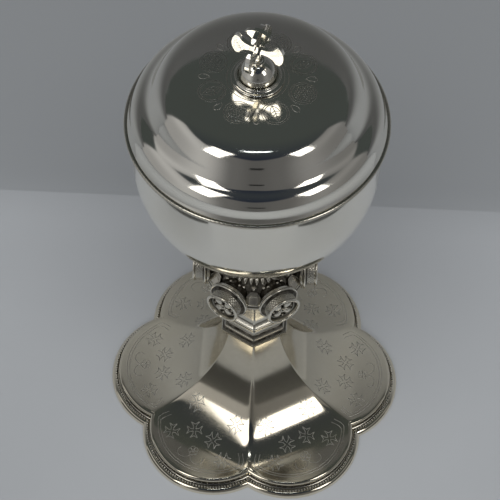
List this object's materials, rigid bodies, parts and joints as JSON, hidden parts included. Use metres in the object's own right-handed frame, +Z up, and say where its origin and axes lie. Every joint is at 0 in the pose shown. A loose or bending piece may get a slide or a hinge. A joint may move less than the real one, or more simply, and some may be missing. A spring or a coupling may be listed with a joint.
{
  "type": "ciborium",
  "caption": "Lidded cup on a hexagonal stem with a knop of round bosses and a lobed foot; the domed lid carries a cross finial and lifts off.",
  "frame": {"origin": "on the table under the middle of the foot, on the axis of the bowl", "axes": "+Z up along the axis of the bowl and the stem; -Y towards the front arris of the spire; +X to the right seen from the front, through the middle of a lobe"},
  "size_m": [0.1406, 0.1312, 0.2551],
  "materials": {
    "polished_silver": "polished silver with fine scratches and engraved crosses",
    "cast_silver": "cast and chased silver, tarnished in its recesses",
    "milled_silver": "milled and beaded silver wire, dark between the beads",
    "finial_silver": "polished silver, softly worn at the edges",
    "brass_fixing": "plain turned brass, out of sight"
  },
  "bodies": {
    "cup": {"foot_flange": "polished_silver", "foot_gallery": "milled_silver", "foot_wire": "milled_silver", "foot_shell": "polished_silver", "lower_collar": "cast_silver", "stem_neck": "cast_silver", "knop_body": "cast_silver", "boss_1": "cast_silver", "boss_plaque_1": "cast_silver", "boss_2": "cast_silver", "boss_plaque_2": "cast_silver", "boss_3": "cast_silver", "boss_plaque_3": "cast_silver", "boss_4": "cast_silver", "boss_plaque_4": "cast_silver", "boss_5": "cast_silver", "boss_plaque_5": "cast_silver", "boss_6": "cast_silver", "boss_plaque_6": "cast_silver", "bowl_seat": "cast_silver", "bowl": "polished_silver", "tie_rod": "brass_fixing", "tie_washer": "brass_fixing", "tie_nut": "brass_fixing"},
    "lid": {"lid_shell": "polished_silver", "lid_rim_wire": "milled_silver", "lid_sleeve": "polished_silver", "finial_collar": "finial_silver", "finial_ball": "finial_silver", "finial_cross": "finial_silver", "finial_stud": "brass_fixing", "finial_washer": "brass_fixing", "finial_nut": "brass_fixing"}
  },
  "joints": [
    {"name": "lid_lift", "type": "slide", "parent": "cup", "child": "lid", "axis": [0, 0, 1], "range_m": [0, 0.15]}
  ]
}
